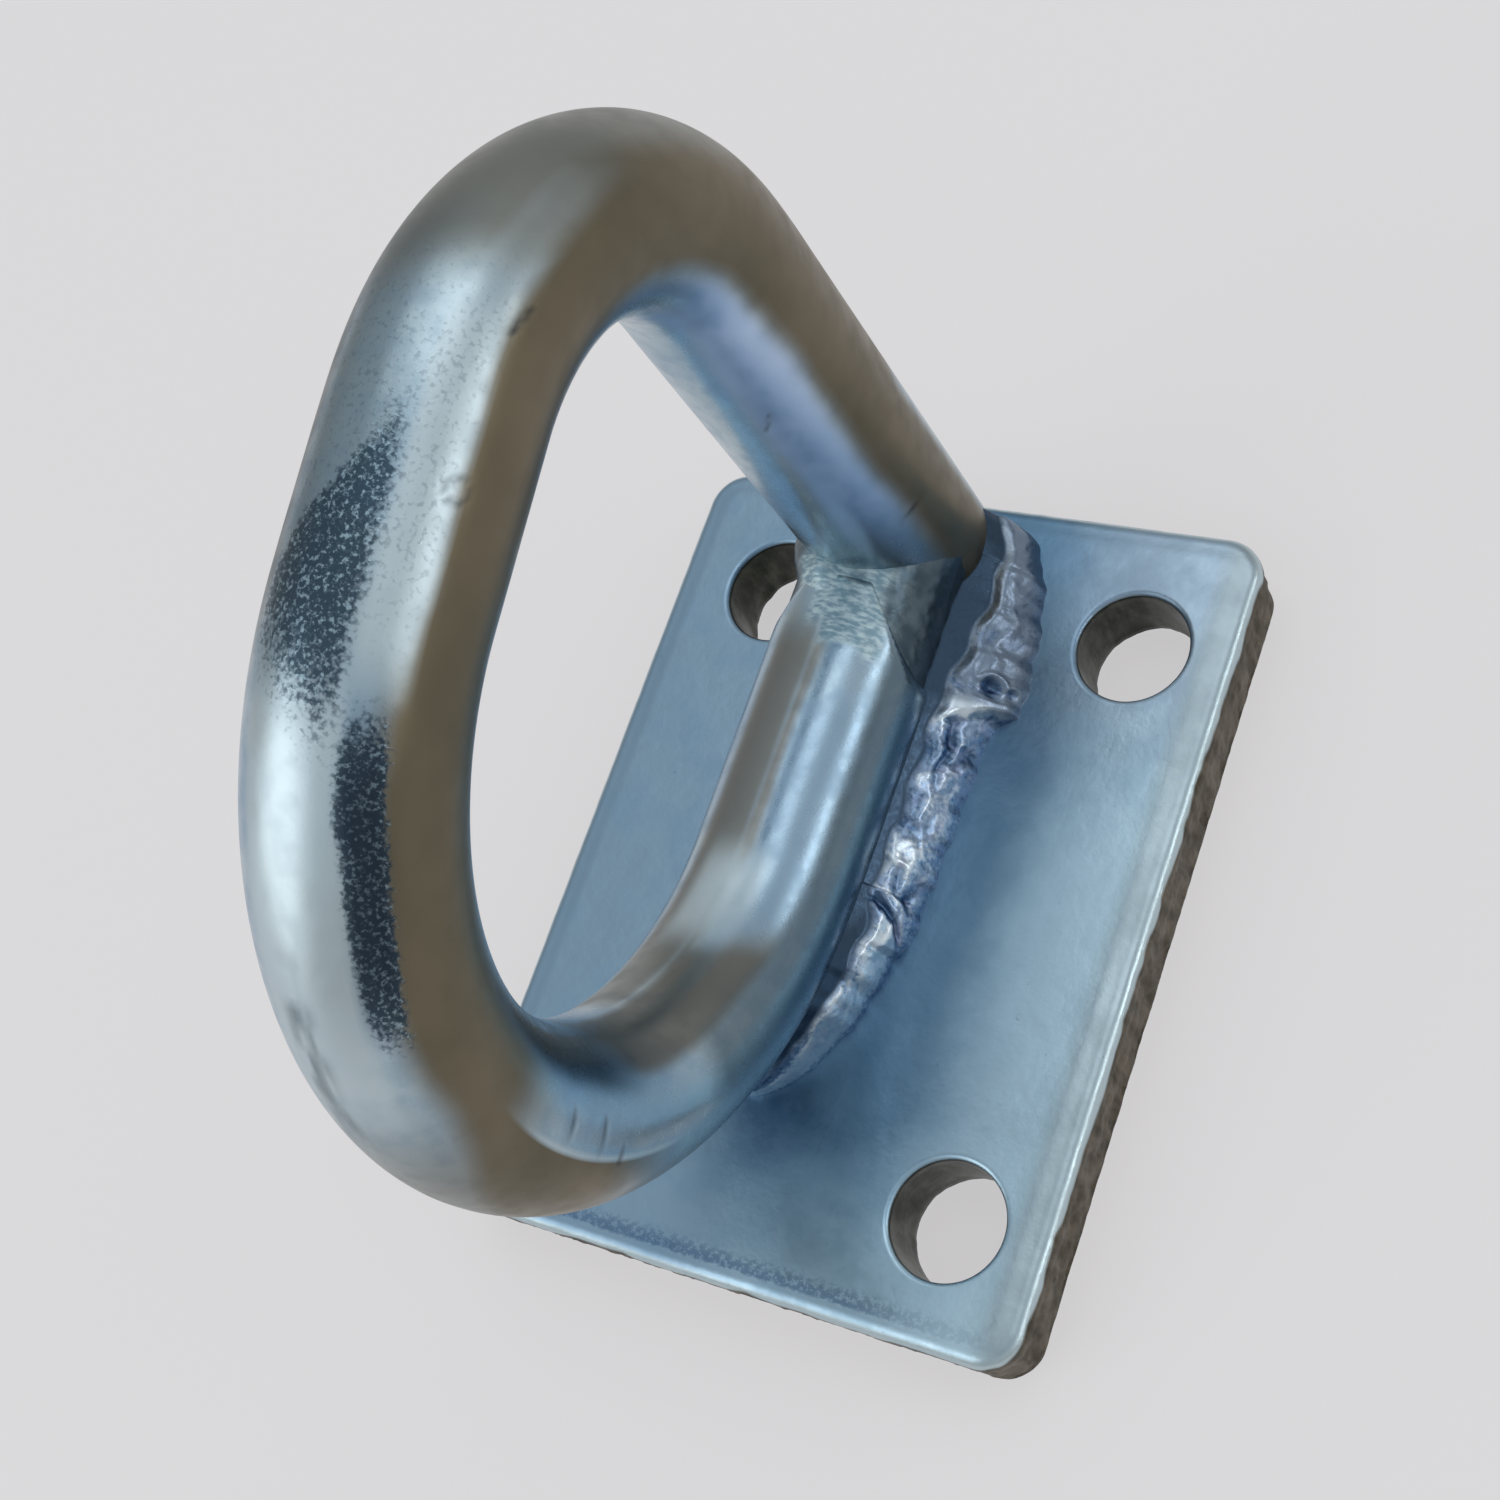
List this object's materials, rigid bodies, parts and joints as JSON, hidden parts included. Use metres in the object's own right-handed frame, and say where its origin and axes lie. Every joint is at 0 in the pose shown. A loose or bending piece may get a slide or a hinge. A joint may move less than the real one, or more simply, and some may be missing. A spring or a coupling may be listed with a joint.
{
  "type": "tow ring",
  "caption": "Bent round bar forming a D-shaped eye, welded upright on a flat steel plate with rounded corners and round bolt holes, for hooking a tow rope or chain.",
  "frame": {"origin": "Middle of the four bolt holes, on the back face of the plate.", "axes": "+Z points out of the front of the plate, along the bolts. +Y points along the plate to the end that carries the ring's leg. +X points right across the plate, away from the ring's offset side."},
  "size_m": [0.075, 0.1044, 0.116],
  "materials": {
    "plated_plate": "Rolled plate, blue passivated zinc, satin, with scuffs",
    "plated_bar": "Drawn bar, blue passivated zinc, bright",
    "plated_weld": "Rippled weld metal under the same zinc"
  },
  "bodies": {
    "root": {"base_plate": "plated_plate", "ring_bar": "plated_bar", "butt_weld": "plated_weld", "fillet_weld_right": "plated_weld", "fillet_weld_left": "plated_weld"}
  },
  "joints": []
}
